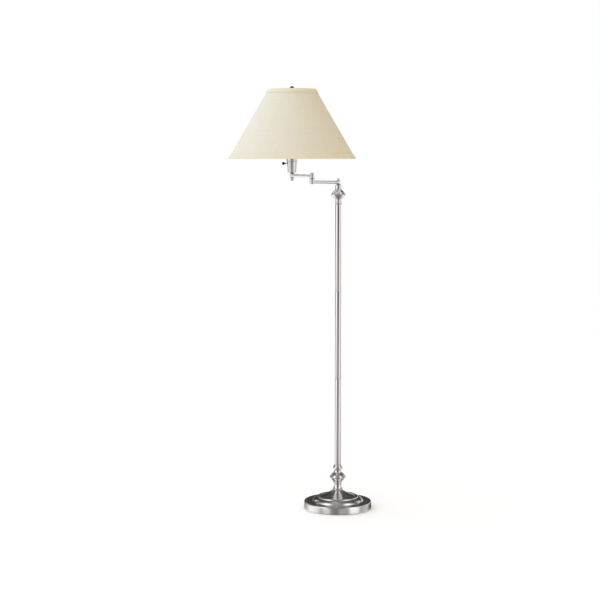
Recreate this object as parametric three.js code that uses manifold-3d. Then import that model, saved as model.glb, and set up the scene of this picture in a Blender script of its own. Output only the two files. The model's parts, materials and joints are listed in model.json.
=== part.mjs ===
// Swing-arm floor lamp: weighted round base, slim turned pole, two arms on vertical
// pivots, a switched lamp socket in a tapered cup, and an empire shade on a harp.
// Millimetres, +Z up. The origin is on the floor, on the axis of the pole.
import * as THREE from 'three';
import { mergeVertices } from 'three/addons/utils/BufferGeometryUtils.js';
import Module from 'manifold-3d';

const wasm = await Module();
wasm.setup();

// ---- Driving dimensions -------------------------------------------------------------

const GAP = 0.3; // clearance between neighbouring pieces
const TOTAL_HEIGHT = 1498.6; // floor to the top of the finial

const BASE_RADIUS = 120;
const RIM_BOTTOM = 1;
const RIM_TOP = 26.5;
const COVER_TOP = 69;
const COVER_WALL = 1.5;
const FELT = { radius: 116, thickness: 2 };
const WEIGHT = { radius: 112, ledge: 100, web: 20, pocketRadius: 17, pocketTop: 14 };
const CORD_EXIT_Z = 9; // height of the cord bushing at the back of the base
const BUSHING = { hole: 4.2, flange: 6.5, bore: 3.2 };

const PIPE = { radius: 4.8, bore: 3.1 }; // threaded pipe that clamps the turned pieces
const PIPE_HOLE = PIPE.radius + GAP;
const LEAD_RADIUS = 2; // insulated lead inside the lamp

const POLE = { radius: 11, wall: 1.2, bottom: 156.3, top: 1085, sections: 3 };
const COUPLER_LENGTH = 40; // threaded couplers inside the pole
const FITTING_RADIUS = POLE.radius - POLE.wall - GAP; // what screws into the pole's ends

const ARM_LENGTH = 116.4; // between pivot axes, the same for both arms
const INNER_ARM_ANGLE = THREE.MathUtils.degToRad(217);
const OUTER_ARM_ANGLE = THREE.MathUtils.degToRad(127);
const ARM_TUBE = { radius: 6, wall: 1.2 };
const INNER_ARM_Z = { start: 1162.4, end: 1165 }; // the tube's axis at its two pivots
const OUTER_ARM_Z = { start: 1184, end: 1186 };
const PIN = { radius: 4, bore: 2.3 }; // hollow pivot pins
const PIN_HOLE = PIN.radius + GAP;

const POLE_KNUCKLE = { radius: 6.6, bottom: 1155.2, top: 1170.4 };
const ELBOW_LOWER = { radius: 8.2, bottom: 1157.3, top: 1175.6 };
const ELBOW_UPPER = { radius: 8.2, bottom: 1177, top: 1194.4 };
const SOCKET_KNUCKLE = { radius: 7.5, bottom: 1178.5, top: 1193 };

const CUP = { bottom: 1194.8, top: 1234.9, bottomRadius: 14.8, topRadius: 18, wall: 1.2 };
const COLLAR = { radius: 19.9, height: 9.8 };
const KNOB_Z = 1228.6; // axis of the switch knob
const KNOB_REACH = 30.4; // socket axis to the middle of the knob
const KNOB_RADIUS = 5.3;
const SHELL = { radius: 16, wall: 0.8, top: 1262 };
const BULB = { baseRadius: 13, base: 1239.4, neck: 1264, top: 1350, radius: 30, glass: 0.9 };

const HARP = { wire: 1.6, foot: 27, widest: 52, footTop: 1276, shoulder: 1350, top: 1472 };
const SLEEVE = { radius: 3.4, bottom: 1247.4, length: 14 };
const STUD_RADIUS = 3;

const SHADE = { bottom: 1245.4, top: 1487.4, bottomRadius: 225, topRadius: 84.5 };
const TRIM = { bottomWidth: 16, topWidth: 13, thickness: 0.5 };
const CLOTH_THICKNESS = 0.6;
const LINER_THICKNESS = 0.6;
const SHADE_WIRE = 1.5; // radius of the wire rings
const SPIDER_ARMS = 3;
const SPIDER_WIRE = 1.3; // radius of its arms
const SPIDER_HUB = 3.4; // thickness of its hub
const FINIAL_RADIUS = 8.4;
const FINIAL_CLEARANCE = 1.5; // from the spider's hub, so that the shade can be turned

const SIDES_LARGE = 40; // facets round the base and shade
const SIDES_TURNED = 20;
const SIDES_SMALL = 12;
const CURVE_STEPS = 3;

// ---- Materials ----------------------------------------------------------------------

function finish(color, roughness, metalness) {
  return () => new THREE.MeshStandardMaterial({ color, roughness, metalness });
}

const nickel = finish(0xb9b4b0, 0.22, 1);
const zincSteel = finish(0x9aa0a4, 0.4, 1);
const castIron = finish(0x3a3a3c, 0.85, 0.6);
const brass = finish(0xc2a15a, 0.3, 1);
const blackPlastic = finish(0x151515, 0.35, 0);
const linen = finish(0xe9e2cc, 0.9, 0);
const linenTrim = finish(0xe2d9b8, 0.9, 0);
const styrene = finish(0xf6f4ee, 0.6, 0);
const felt = finish(0x1d1d1f, 0.95, 0);
const fibre = finish(0xd9cfb6, 0.8, 0);
const leadJacket = finish(0xd8c27a, 0.5, 0);
const opalGlass = finish(0xf7f7f2, 0.2, 0);

// ---- Geometry helpers ---------------------------------------------------------------

function toAxisZ(geometry) {
  return geometry.rotateX(Math.PI / 2);
}

// Lathe geometry from a list of [radius, height] pairs that runs anticlockwise and is
// closed on itself, or starts and ends on the axis.
function lathe(pairs, sides = SIDES_TURNED) {
  const points = pairs.map(([radius, z]) => new THREE.Vector2(radius, z));
  return toAxisZ(new THREE.LatheGeometry(points, sides));
}

function outlinePairs(draw, steps = CURVE_STEPS) {
  const path = new THREE.Path();
  draw(path);
  return path.getPoints(steps).map((point) => [point.x, point.y]);
}

// A turned piece: the outer outline is drawn from the bottom up, and the bore runs
// straight through. With no bore the piece is solid.
function turned(bore, draw, sides = SIDES_TURNED) {
  const outer = outlinePairs(draw);
  const bottom = [bore, outer[0][1]];
  const top = [bore, outer.at(-1)[1]];
  const closing = bore > 0 ? [bottom] : [];
  return lathe([bottom, ...outer, top, ...closing], sides);
}

function ring(bore, radius, bottom, top, sides = SIDES_TURNED) {
  return turned(bore, (path) => path.moveTo(radius, bottom).lineTo(radius, top), sides);
}

// A ring whose two outer edges are chamfered.
function easedRing(bore, radius, bottom, top, chamfer, sides = SIDES_TURNED) {
  return turned(
    bore,
    (path) =>
      path
        .moveTo(radius - chamfer, bottom)
        .lineTo(radius, bottom + chamfer)
        .lineTo(radius, top - chamfer)
        .lineTo(radius - chamfer, top),
    sides,
  );
}

function hexNut(bore, acrossFlats, bottom, top) {
  const blank = ring(0, acrossFlats / Math.sqrt(3), bottom, top, 6);
  return cut(blank, ring(0, bore, bottom - 1, top + 1, SIDES_SMALL));
}

function toManifold(geometry) {
  const bare = geometry.index ? geometry.toNonIndexed() : geometry.clone();
  bare.deleteAttribute('normal');
  bare.deleteAttribute('uv');
  const merged = mergeVertices(bare, 1e-4);
  const mesh = new wasm.Mesh({
    numProp: 3,
    vertProperties: new Float32Array(merged.attributes.position.array),
    triVerts: withoutSlivers(merged.index.array),
  });
  return new wasm.Manifold(mesh);
}

// A lathe profile that starts on the axis leaves triangles with two equal corners.
function withoutSlivers(indices) {
  const kept = [];
  for (let i = 0; i < indices.length; i += 3) {
    const [a, b, c] = indices.slice(i, i + 3);
    if (a !== b && b !== c && a !== c) kept.push(a, b, c);
  }
  return new Uint32Array(kept);
}

function fromManifold(solid) {
  const mesh = solid.getMesh();
  const geometry = new THREE.BufferGeometry();
  geometry.setAttribute('position', new THREE.BufferAttribute(mesh.vertProperties, 3));
  geometry.setIndex(new THREE.BufferAttribute(mesh.triVerts, 1));
  geometry.computeVertexNormals();
  return geometry;
}

function cut(geometry, ...tools) {
  return fromManifold(tools.reduce((solid, tool) => solid.subtract(toManifold(tool)), toManifold(geometry)));
}

function join(...geometries) {
  const [first, ...rest] = geometries.map(toManifold);
  return fromManifold(rest.reduce((solid, other) => solid.add(other), first));
}

// Moves a shape that was made round the Z axis so that its axis lies along X.
// A round wire or lead along a curve.
function wire(curve, radius, sides, steps) {
  const section = new THREE.Shape().absarc(0, 0, radius, 0, 2 * Math.PI);
  const outline = new THREE.Shape(section.getSpacedPoints(sides).slice(0, -1));
  return new THREE.ExtrudeGeometry(outline, { steps, extrudePath: curve });
}

function piece(parent, name, geometry, material) {
  const mesh = new THREE.Mesh(geometry, material());
  mesh.name = name;
  parent.add(mesh);
}

// ---- Base ---------------------------------------------------------------------------

// Spun cover: upright rim, flat step, rounded ring, bead, and a flared cone that rises
// to the neck. It is open underneath.
function baseCover() {
  const outside = outlinePairs((path) =>
    path
      .moveTo(BASE_RADIUS, RIM_BOTTOM)
      .lineTo(BASE_RADIUS, RIM_TOP - 4)
      .quadraticCurveTo(BASE_RADIUS, RIM_TOP, BASE_RADIUS - 4, RIM_TOP)
      .lineTo(90.5, RIM_TOP)
      .quadraticCurveTo(86.5, 37, 74, 39.4)
      .lineTo(72.5, 38)
      .quadraticCurveTo(71.5, 43.8, 65, 43.8)
      .lineTo(63.5, 43.2)
      .quadraticCurveTo(27, 54.5, 15.6, COVER_TOP),
  );
  const inside = outlinePairs((path) =>
    path
      .moveTo(14.3, COVER_TOP - COVER_WALL)
      .quadraticCurveTo(26, 52.6, 63, 41.4)
      .lineTo(71, 36.4)
      .quadraticCurveTo(84, 35.4, 88.6, RIM_TOP - COVER_WALL)
      .lineTo(BASE_RADIUS - 4.4, RIM_TOP - COVER_WALL)
      .lineTo(BASE_RADIUS - COVER_WALL, RIM_TOP - 4.4)
      .lineTo(BASE_RADIUS - COVER_WALL, RIM_BOTTOM),
  );
  const pipeHole = [
    [PIPE_HOLE, COVER_TOP],
    [PIPE_HOLE, COVER_TOP - COVER_WALL],
  ];
  const shell = lathe([...outside, ...pipeHole, ...inside, outside[0]], SIDES_LARGE);
  return cut(shell, bushingHole());
}

function towardBack(geometry) {
  return geometry.rotateX(-Math.PI / 2).translate(0, 0, CORD_EXIT_Z);
}

function bushingHole() {
  return towardBack(ring(0, BUSHING.hole + GAP, BASE_RADIUS - 10, BASE_RADIUS + 10, SIDES_SMALL));
}

// Strain-free bushing: a sleeve through the rim with a flange on both sides of it.
function cordBushing() {
  const innerFlange = BASE_RADIUS - COVER_WALL - GAP;
  const outerFlange = BASE_RADIUS + GAP;
  const profile = [
    [BUSHING.bore, innerFlange - 1.5],
    [BUSHING.flange - 0.8, innerFlange - 1.5],
    [BUSHING.flange - 0.8, innerFlange - 0.2],
    [BUSHING.hole, innerFlange - 0.2],
    [BUSHING.hole, outerFlange + 0.2],
    [BUSHING.flange, outerFlange + 0.2],
    [BUSHING.flange - 0.8, outerFlange + 2],
    [BUSHING.bore, outerFlange + 2],
    [BUSHING.bore, innerFlange - 1.5],
  ];
  return towardBack(lathe(profile, SIDES_SMALL));
}

// Cast weight: a disc with a raised ledge that carries the cover, a pocket underneath
// for the clamping nut, and a channel for the lead from the pocket to the back.
function baseWeight() {
  const bottom = FELT.thickness + GAP;
  const ledgeTop = RIM_TOP - COVER_WALL - GAP;
  const disc = lathe(
    [
      [WEIGHT.pocketRadius, bottom],
      [WEIGHT.radius, bottom],
      [WEIGHT.radius, ledgeTop],
      [WEIGHT.ledge, ledgeTop],
      [WEIGHT.ledge - 3, WEIGHT.web],
      [PIPE_HOLE, WEIGHT.web],
      [PIPE_HOLE, WEIGHT.pocketTop],
      [WEIGHT.pocketRadius, WEIGHT.pocketTop],
      [WEIGHT.pocketRadius, bottom],
    ],
    SIDES_LARGE,
  );
  const channelTop = 12;
  const channelStart = WEIGHT.pocketRadius - 3;
  const channelLength = WEIGHT.radius + 5 - channelStart;
  const channel = new THREE.BoxGeometry(8, channelLength, channelTop);
  channel.translate(0, channelStart + channelLength / 2, channelTop / 2);
  return cut(disc, channel);
}

// The lead comes in through the bushing, crosses the base, turns up into the pipe and
// climbs the pole to the first pivot.
const LEAD_TOP = 1152;

function supplyLead() {
  const straightStart = 55;
  const points = [
    [0, BASE_RADIUS - 8, CORD_EXIT_Z],
    [0, 95, 8.6],
    [0, 70, 7.4],
    [0, 40, 6],
    [0, 18, 5],
    [0, 6, 5],
    [0, 0.5, 8],
    [0, 0, 13],
    [0, 0, 35],
    [0, 0, straightStart + 5],
  ].map((point) => new THREE.Vector3(...point));
  const bend = wire(new THREE.CatmullRomCurve3(points), LEAD_RADIUS, 8, 34);
  return join(bend, ring(0, LEAD_RADIUS, straightStart, LEAD_TOP, 8));
}

function buildBase(stand) {
  const nutTop = WEIGHT.pocketTop - GAP;
  piece(stand, 'felt_pad', ring(0, FELT.radius, 0, FELT.thickness, SIDES_LARGE), felt);
  piece(stand, 'base_weight', baseWeight(), castIron);
  piece(stand, 'base_cover', baseCover(), nickel);
  piece(stand, 'cord_bushing', cordBushing(), blackPlastic);
  piece(stand, 'base_nut', hexNut(PIPE_HOLE, 17, nutTop - 4, nutTop), zincSteel);
  piece(stand, 'base_pipe', basePipe(), zincSteel);
  piece(stand, 'supply_lead', supplyLead(), leadJacket);
}

// ---- Turned pieces between the base and the pole -------------------------------------

function waistedNeck(path) {
  path.moveTo(15.6, COVER_TOP + GAP).lineTo(16.8, 70.6).lineTo(15.4, 73);
  path.quadraticCurveTo(11.4, 82.5, 14.8, 91.4).lineTo(15.8, 93).lineTo(14.2, 95.3);
}

function lowerKnotCup(path) {
  path.moveTo(14.2, 95.6).lineTo(17, 97.8).lineTo(21.4, 101.2).lineTo(22.4, 103);
  path.lineTo(27.9, 108.8).quadraticCurveTo(29, 110.4, 29, 112.4);
}

function lowerKnotSkirt(path) {
  path.moveTo(29, 112.7).lineTo(28, 114.4).quadraticCurveTo(24.6, 120.4, 17.6, 126.2);
  path.quadraticCurveTo(13.6, 129.4, 13.6, 135.5);
}

function lowerBead(path) {
  path.moveTo(14.2, 135.8).lineTo(15.4, 137.6).quadraticCurveTo(19.4, 144.5, 16, 151.6);
  path.lineTo(12, 156);
}

function upperKnotCup(path) {
  path.moveTo(12.6, 1104.9).lineTo(17.6, 1107.8).lineTo(24.2, 1116.2);
  path.quadraticCurveTo(25.7, 1118.2, 25.7, 1119.9);
}

function upperKnotDome(path) {
  path.moveTo(25.7, 1120.2).lineTo(24.9, 1122.4).quadraticCurveTo(19.6, 1127.4, 17.4, 1130.6);
  path.quadraticCurveTo(12.9, 1133, 12.2, 1137.2);
}

// The upper stem is one turning with a collar that caps the pole.
function upperStem(path) {
  path.moveTo(11.2, 1085.3).lineTo(12.3, 1086.2).lineTo(12.8, 1087.7).lineTo(12.3, 1089.2);
  path.lineTo(11.4, 1090).lineTo(11.4, 1104.6);
}

// The pipe that clamps the base and the lower turnings. Its top is a wide plug that
// screws into the foot of the pole.
function basePipe() {
  const bottom = 8.6;
  const plugBottom = POLE.bottom + 1;
  const plugTop = plugBottom + 20;
  return lathe(
    [
      [PIPE.bore, bottom],
      [PIPE.radius, bottom],
      [PIPE.radius, plugBottom],
      [FITTING_RADIUS, plugBottom],
      [FITTING_RADIUS, plugTop],
      [PIPE.bore, plugTop],
      [PIPE.bore, bottom],
    ],
    SIDES_SMALL,
  );
}

// The post that clamps the upper turnings: a plug in the head of the pole, a threaded
// length through the knot, and the slimmer pin that the inner arm turns on.
function pivotPost() {
  const plugTop = POLE.top - 1;
  const plugBottom = plugTop - 20;
  const shoulder = 1153;
  const top = 1173.4;
  return lathe(
    [
      [PIN.bore, plugBottom],
      [FITTING_RADIUS, plugBottom],
      [FITTING_RADIUS, plugTop],
      [PIPE.radius, plugTop],
      [PIPE.radius, shoulder],
      [PIN.radius, shoulder],
      [PIN.radius, top],
      [PIN.bore, top],
      [PIN.bore, plugBottom],
    ],
    SIDES_SMALL,
  );
}

function buildPole(stand) {
  piece(stand, 'base_neck', turned(PIPE_HOLE, waistedNeck), nickel);
  piece(stand, 'lower_knot_cup', turned(PIPE_HOLE, lowerKnotCup), nickel);
  piece(stand, 'lower_knot_skirt', turned(PIPE_HOLE, lowerKnotSkirt), nickel);
  piece(stand, 'lower_bead', turned(PIPE_HOLE, lowerBead), nickel);

  const sectionNames = ['pole_lower', 'pole_middle', 'pole_upper'];
  const pitch = (POLE.top - POLE.bottom + GAP) / POLE.sections;
  sectionNames.forEach((name, i) => {
    const bottom = POLE.bottom + i * pitch;
    const tube = ring(POLE.radius - POLE.wall, POLE.radius, bottom, bottom + pitch - GAP);
    piece(stand, name, tube, nickel);
  });
  ['pole_coupler_lower', 'pole_coupler_upper'].forEach((name, i) => {
    const middle = POLE.bottom + (i + 1) * pitch - GAP / 2;
    const [bottom, top] = [middle - COUPLER_LENGTH / 2, middle + COUPLER_LENGTH / 2];
    piece(stand, name, ring(PIPE_HOLE, FITTING_RADIUS, bottom, top, SIDES_SMALL), zincSteel);
  });

  piece(stand, 'upper_stem', turned(PIPE_HOLE, upperStem), nickel);
  piece(stand, 'upper_knot_cup', turned(PIPE_HOLE, upperKnotCup), nickel);
  piece(stand, 'upper_knot_dome', turned(PIPE_HOLE, upperKnotDome), nickel);
  piece(stand, 'pivot_stem', easedRing(PIPE_HOLE, 11.6, 1137.5, 1153.6, 0.8), nickel);
  const washerBottom = 1153.9;
  const washerTop = POLE_KNUCKLE.bottom - GAP;
  piece(stand, 'pole_washer', ring(PIN_HOLE, 7.2, washerBottom, washerTop), blackPlastic);

  piece(stand, 'pivot_post', pivotPost(), zincSteel);
  const capBottom = POLE_KNUCKLE.top + GAP;
  piece(stand, 'pole_pivot_cap', capNut(capBottom, 1175.8, 5.2), nickel);
}

// A domed nut that covers the top of a pin. Its blind hole is open at the bottom.
function capNut(bottom, top, radius) {
  const holeTop = top - 1.8;
  const outside = outlinePairs((path) =>
    path
      .moveTo(radius, bottom)
      .lineTo(radius, bottom + 1.6)
      .quadraticCurveTo(radius * 0.8, top, 0, top),
  );
  return lathe([[0, holeTop], [PIN_HOLE, holeTop], [PIN_HOLE, bottom], ...outside]);
}

// ---- Arms ---------------------------------------------------------------------------

// Turns a piece from Z into the line between an arm's two pivots, which rises a little.
function alongArm(geometry, { start, end }) {
  const rise = Math.atan2(end - start, ARM_LENGTH);
  return geometry.rotateY(Math.PI / 2 - rise).translate(0, 0, start);
}

// A tube between two knuckles, its ends hollowed to fit round them.
function armTube(axisZ, startRadius, endRadius) {
  const section = ring(ARM_TUBE.radius - ARM_TUBE.wall, ARM_TUBE.radius, 0, ARM_LENGTH);
  const [bottom, top] = [axisZ.start - 2 * ARM_TUBE.radius, axisZ.end + 2 * ARM_TUBE.radius];
  const start = ring(0, startRadius + GAP, bottom, top);
  const end = ring(0, endRadius + GAP, bottom, top).translate(ARM_LENGTH, 0, 0);
  return cut(alongArm(section, axisZ), start, end);
}

function armLead(axisZ) {
  const clearOfKnuckle = 12;
  const lead = ring(0, LEAD_RADIUS, clearOfKnuckle, ARM_LENGTH - clearOfKnuckle, 8);
  return alongArm(lead, axisZ);
}

function knuckle({ radius, bottom, top }) {
  return easedRing(PIN_HOLE, radius, bottom, top, 0.8);
}

function buildInnerArm(arm) {
  const tube = armTube(INNER_ARM_Z, POLE_KNUCKLE.radius, ELBOW_LOWER.radius);
  piece(arm, 'inner_arm_pole_knuckle', knuckle(POLE_KNUCKLE), nickel);
  piece(arm, 'inner_arm_tube', tube, nickel);
  const elbowKnuckle = knuckle(ELBOW_LOWER).translate(ARM_LENGTH, 0, 0);
  piece(arm, 'inner_arm_elbow_knuckle', elbowKnuckle, nickel);
  piece(arm, 'inner_arm_lead', armLead(INNER_ARM_Z), leadJacket);
}

// Hollow pin through both elbow knuckles, flush underneath, with a thin domed head.
function elbowPin() {
  const headBottom = ELBOW_UPPER.top + GAP;
  const headTop = headBottom + 1.6;
  const bottom = ELBOW_LOWER.bottom;
  return lathe(
    [
      [0, headTop - 0.9],
      [PIN.bore, headTop - 0.9],
      [PIN.bore, bottom],
      [PIN.radius, bottom],
      [PIN.radius, headBottom],
      [7.2, headBottom],
      [7.2, headBottom + 0.7],
      [5.8, headTop],
      [0, headTop],
    ],
    SIDES_SMALL,
  );
}

function buildOuterArm(arm) {
  const tube = armTube(OUTER_ARM_Z, ELBOW_UPPER.radius, SOCKET_KNUCKLE.radius);
  const washerBottom = ELBOW_LOWER.top + GAP;
  const washerTop = ELBOW_UPPER.bottom - GAP;
  piece(arm, 'outer_arm_elbow_knuckle', knuckle(ELBOW_UPPER), nickel);
  piece(arm, 'elbow_washer', ring(PIN_HOLE, 7.4, washerBottom, washerTop), blackPlastic);
  piece(arm, 'elbow_pin', elbowPin(), nickel);
  piece(arm, 'outer_arm_tube', tube, nickel);
  const socketKnuckle = knuckle(SOCKET_KNUCKLE).translate(ARM_LENGTH, 0, 0);
  piece(arm, 'outer_arm_socket_knuckle', socketKnuckle, nickel);
  piece(arm, 'outer_arm_lead', armLead(OUTER_ARM_Z), leadJacket);
}

// ---- Lamp head ----------------------------------------------------------------------

function swivelCap() {
  const top = SOCKET_KNUCKLE.bottom - GAP;
  const bottom = 1167.6;
  const holeBottom = bottom + 3;
  const outside = outlinePairs((path) =>
    path
      .moveTo(0, bottom)
      .quadraticCurveTo(5.6, bottom, 6.2, bottom + 4.6)
      .lineTo(6.6, top - 2)
      .lineTo(6.6, top),
  );
  return lathe([...outside, [PIN_HOLE, top], [PIN_HOLE, holeBottom], [0, holeBottom]]);
}

function knobShaftHole(radius) {
  return ring(0, radius, -KNOB_REACH, 0, SIDES_SMALL).rotateY(Math.PI / 2).translate(0, 0, KNOB_Z);
}

function socketCup() {
  const { bottom, top, bottomRadius, topRadius, wall } = CUP;
  const outside = outlinePairs((path) =>
    path
      .moveTo(bottomRadius - 2.6, bottom)
      .quadraticCurveTo(bottomRadius, bottom, bottomRadius + 0.2, bottom + 2.6)
      .lineTo(topRadius, top),
  );
  const inside = [
    [topRadius - wall, top],
    [bottomRadius - wall + 0.2, bottom + 3.4],
    [bottomRadius - wall - 1.8, bottom + wall],
    [PIN_HOLE, bottom + wall],
    [PIN_HOLE, bottom],
  ];
  return cut(lathe([...outside, ...inside, outside[0]]), knobShaftHole(2.4));
}

function switchBody(bottom, top) {
  return cut(ring(0, 14, bottom, top), knobShaftHole(1.5 + GAP));
}

// A thin glass envelope, open at the neck.
function bulbGlass() {
  const { baseRadius, neck, top, radius, glass } = BULB;
  const envelope = (inset) =>
    outlinePairs((path) =>
      path
        .moveTo(baseRadius - inset, neck + GAP)
        .lineTo(baseRadius + 0.6 - inset, neck + 6)
        .bezierCurveTo(18 - inset, neck + 22, radius - inset, neck + 28, radius - inset, neck + 52)
        .bezierCurveTo(radius - inset, top - 12, 16, top - inset, 0, top - inset),
    );
  return lathe([...envelope(0), ...envelope(glass).reverse(), envelope(0)[0]], SIDES_TURNED);
}

function bulbBase() {
  const { baseRadius, base, neck } = BULB;
  return turned(0, (path) =>
    path
      .moveTo(4.5, base)
      .lineTo(9, base + 4)
      .lineTo(baseRadius - 0.4, base + 6)
      .lineTo(baseRadius - 0.4, neck - 3)
      .lineTo(baseRadius, neck),
  );
}

function buildSocket(head) {
  const postTop = 1204;
  const washerTop = CUP.bottom - GAP;
  const post = ring(PIN.bore, PIN.radius, 1171.2, postTop, SIDES_SMALL);
  piece(head, 'swivel_cap', swivelCap(), nickel);
  piece(head, 'swivel_post', post, zincSteel);
  piece(head, 'swivel_washer', ring(PIN_HOLE, 6.8, 1193.3, washerTop), blackPlastic);

  const cupFloor = CUP.bottom + CUP.wall + GAP;
  piece(head, 'socket_cup', socketCup(), nickel);
  piece(head, 'socket_nut', hexNut(PIN_HOLE, 14, cupFloor, cupFloor + 3.4), zincSteel);

  const bodyBottom = postTop + GAP;
  const bodyTop = 1235.3;
  piece(head, 'switch_body', switchBody(bodyBottom, bodyTop), blackPlastic);
  piece(head, 'centre_contact', ring(0, 4.5, bodyTop + GAP, BULB.base - GAP, SIDES_SMALL), brass);

  const collarBottom = CUP.top + GAP;
  const collarTop = collarBottom + COLLAR.height;
  const collarHole = SHELL.radius + GAP;
  const collar = easedRing(collarHole, COLLAR.radius, collarBottom, collarTop, 0.8);
  const shellInner = SHELL.radius - SHELL.wall;
  const liner = ring(shellInner - GAP - 0.6, shellInner - GAP, 1236, SHELL.top - 1);
  const screwOuter = shellInner - 2 * GAP - 0.7;
  piece(head, 'socket_collar', collar, nickel);
  piece(head, 'socket_shell', ring(shellInner, SHELL.radius, 1235.6, SHELL.top), brass);
  piece(head, 'socket_insulator', liner, fibre);
  piece(head, 'screw_shell', ring(screwOuter - 0.4, screwOuter, 1237, 1259), brass);
  piece(head, 'bulb_base', bulbBase(), zincSteel);
  piece(head, 'bulb_glass', bulbGlass(), opalGlass);

  const saddleBottom = collarTop + GAP;
  piece(head, 'harp_saddle', harpSaddle(saddleBottom), zincSteel);
  const clampBottom = saddleBottom + SADDLE_THICKNESS + GAP;
  piece(head, 'socket_clamp_ring', ring(collarHole, 18.6, clampBottom, clampBottom + 3), brass);
}

const SADDLE_THICKNESS = 1.5;
const SADDLE_PEG_TOP = 1254;

// A flat ring round the socket with two straps that reach out to the harp's feet, each
// ending in a round peg.
function harpSaddle(bottom) {
  const middle = bottom + SADDLE_THICKNESS / 2;
  const strap = new THREE.BoxGeometry(2 * HARP.foot + 4, 7, SADDLE_THICKNESS).translate(0, 0, middle);
  const plate = cut(
    join(ring(0, 19.5, bottom, bottom + SADDLE_THICKNESS), strap),
    ring(0, SHELL.radius + GAP, bottom - 2, bottom + SADDLE_THICKNESS + 2),
  );
  const pegs = [-1, 1].map((side) => {
    const peg = ring(0, HARP.wire, bottom + SADDLE_THICKNESS / 2, SADDLE_PEG_TOP, 8);
    return peg.translate(side * HARP.foot, 0, 0);
  });
  return join(plate, ...pegs);
}

// The bowed wire: straight feet, a wide shoulder round the bulb, and a level top.
function harpCurve() {
  const half = [
    [HARP.foot, SADDLE_PEG_TOP + GAP],
    [HARP.foot, HARP.footTop - 7],
    [HARP.foot, HARP.footTop],
    [HARP.foot + 6, HARP.footTop + 15],
    [HARP.widest - 4, HARP.shoulder - 32],
    [HARP.widest, HARP.shoulder],
    [HARP.widest - 4, HARP.shoulder + 42],
    [HARP.foot + 8, HARP.top - 32],
    [HARP.foot / 2, HARP.top - 6],
  ];
  const mirrored = half.map(([x, z]) => [-x, z]).reverse();
  const points = [...half, [0, HARP.top], ...mirrored];
  const places = points.map(([x, z]) => new THREE.Vector3(x, 0, z));
  return new THREE.CatmullRomCurve3(places, false, 'centripetal');
}

const STUD_FLANGE = { radius: 8, bottom: HARP.top + HARP.wire + GAP, thickness: 1.6 };
const STUD_TOP = 1486.6;

function buildHarp(head) {
  const { radius, bottom, thickness } = STUD_FLANGE;
  piece(head, 'harp', wire(harpCurve(), HARP.wire, 8, 44), zincSteel);
  const stud = turned(
    0,
    (path) =>
      path
        .moveTo(radius, bottom)
        .lineTo(radius, bottom + thickness)
        .lineTo(STUD_RADIUS, bottom + thickness)
        .lineTo(STUD_RADIUS, STUD_TOP),
    SIDES_SMALL,
  );
  piece(head, 'harp_stud', stud, brass);
  [['harp_sleeve_left', -1], ['harp_sleeve_right', 1]].forEach(([name, side]) => {
    const top = SLEEVE.bottom + SLEEVE.length;
    const sleeve = easedRing(HARP.wire + GAP, SLEEVE.radius, SLEEVE.bottom, top, 0.6, SIDES_SMALL);
    piece(head, name, sleeve.translate(side * HARP.foot, 0, 0), brass);
  });
}

function buildKnob(head) {
  const inside = 13;
  const shaft = ring(0, 1.5, inside - 5, KNOB_REACH - 4, SIDES_SMALL);
  const ball = new THREE.SphereGeometry(KNOB_RADIUS, SIDES_SMALL, 10);
  ball.translate(-KNOB_REACH, 0, KNOB_Z);
  const turnedShaft = shaft.rotateY(-Math.PI / 2).translate(0, 0, KNOB_Z);
  piece(head, 'switch_knob', join(turnedShaft, ball), blackPlastic);
}

// ---- Shade --------------------------------------------------------------------------

const SHADE_SLOPE = Math.atan2(SHADE.bottomRadius - SHADE.topRadius, SHADE.top - SHADE.bottom);

// Radius of the cone at a height, moved inward by a distance square to its wall.
function shadeRadius(z, inset) {
  const along = (z - SHADE.bottom) / (SHADE.top - SHADE.bottom);
  const outer = THREE.MathUtils.lerp(SHADE.bottomRadius, SHADE.topRadius, along);
  return outer - inset / Math.cos(SHADE_SLOPE);
}

function coneBand(bottom, top, inset, thickness) {
  const profile = [
    [shadeRadius(bottom, inset + thickness), bottom],
    [shadeRadius(bottom, inset), bottom],
    [shadeRadius(top, inset), top],
    [shadeRadius(top, inset + thickness), top],
  ];
  return lathe([...profile, profile[0]], SIDES_LARGE);
}

const CLOTH_INSET = TRIM.thickness + GAP;
const LINER_INSET = CLOTH_INSET + CLOTH_THICKNESS + GAP;
const RING_INSET = LINER_INSET + LINER_THICKNESS + GAP + SHADE_WIRE + 0.2;

function wireRing(z) {
  const radius = shadeRadius(z, RING_INSET);
  const section = new THREE.Path().absarc(radius, z, SHADE_WIRE, 0, 2 * Math.PI);
  const pairs = section.getPoints(3).map((point) => [point.x, point.y]);
  return lathe([...pairs.slice(0, -1), pairs[0]], SIDES_LARGE);
}

// A thick washer on the harp's stud, with level arms that bend up to the shade's top ring.
function shadeSpider() {
  const hubBottom = STUD_FLANGE.bottom + STUD_FLANGE.thickness + GAP;
  const hubTop = hubBottom + SPIDER_HUB;
  const level = hubBottom + SPIDER_WIRE + 0.2;
  const armEnd = shadeRadius(TOP_RING_Z, RING_INSET);
  const arms = Array.from({ length: SPIDER_ARMS }, (_, i) => {
    const route = new THREE.CatmullRomCurve3([
      new THREE.Vector3(6, 0, level),
      new THREE.Vector3(armEnd - 18, 0, level),
      new THREE.Vector3(armEnd - 12, 0, level + 0.6),
      new THREE.Vector3(armEnd - 4, 0, TOP_RING_Z - 3),
      new THREE.Vector3(armEnd, 0, TOP_RING_Z),
    ]);
    const turn = (2 * Math.PI * i) / SPIDER_ARMS + Math.PI / 6;
    return wire(route, SPIDER_WIRE, 6, 14).rotateZ(turn);
  });
  const hub = ring(STUD_RADIUS + GAP, 9.5, hubBottom, hubTop);
  return join(hub, ...arms, wireRing(TOP_RING_Z));
}

const BOTTOM_RING_Z = SHADE.bottom + 2;
const TOP_RING_Z = SHADE.top - 2.4;

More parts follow.
